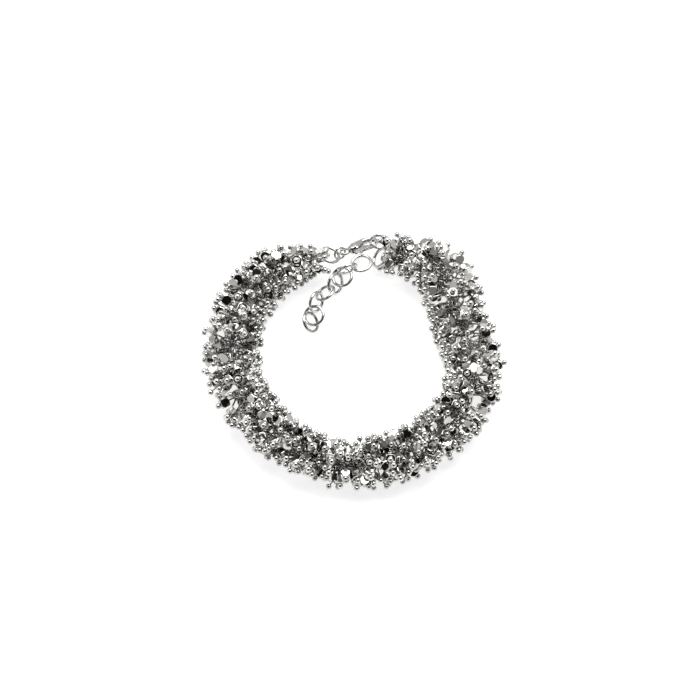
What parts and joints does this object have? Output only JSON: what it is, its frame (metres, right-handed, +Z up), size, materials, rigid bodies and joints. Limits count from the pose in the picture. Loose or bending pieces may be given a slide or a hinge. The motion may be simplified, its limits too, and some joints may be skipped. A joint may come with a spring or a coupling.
{
  "type": "clustered bead bracelet",
  "caption": "Closed chain bracelet thickly covered in ball-tipped pins and small faceted beads, with a lobster clasp and an extension chain.",
  "frame": {"origin": "on the surface that the bracelet lies on, under the middle of its outline", "axes": "+Z up from the surface, +X to the viewer's right, +Y away from the viewer, with the clasp at the far side"},
  "size_m": [0.0738, 0.0718, 0.0124],
  "materials": {
    "silver_beads": "polished silver-tone plating",
    "bright_silver": "polished silver-tone plating"
  },
  "bodies": {
    "bracelet": {"cluster_left": "silver_beads", "cluster_right": "silver_beads", "end_ring_left": "bright_silver", "clasp_link": "bright_silver", "clasp_body": "bright_silver", "clasp_rivet": "bright_silver", "catch_ring": "bright_silver", "end_ring_right": "bright_silver", "extension_ring_1": "bright_silver", "extension_ring_2": "bright_silver", "extension_ring_3": "bright_silver", "extension_ring_4": "bright_silver", "extension_ring_5": "bright_silver", "extension_ring_6": "bright_silver", "extension_ring_7": "bright_silver", "extension_ring_8": "bright_silver"},
    "clasp_lever": {"clasp_lever": "bright_silver"}
  },
  "joints": [
    {"name": "clasp_lever_hinge", "type": "hinge", "parent": "bracelet", "child": "clasp_lever", "pos_m": [0.00106, 0.03203, 0.00318], "axis": [-0.1583, 0.3918, 0.9063], "range_deg": [0, 10], "stiffness_Nm_per_rad": 0.005}
  ]
}
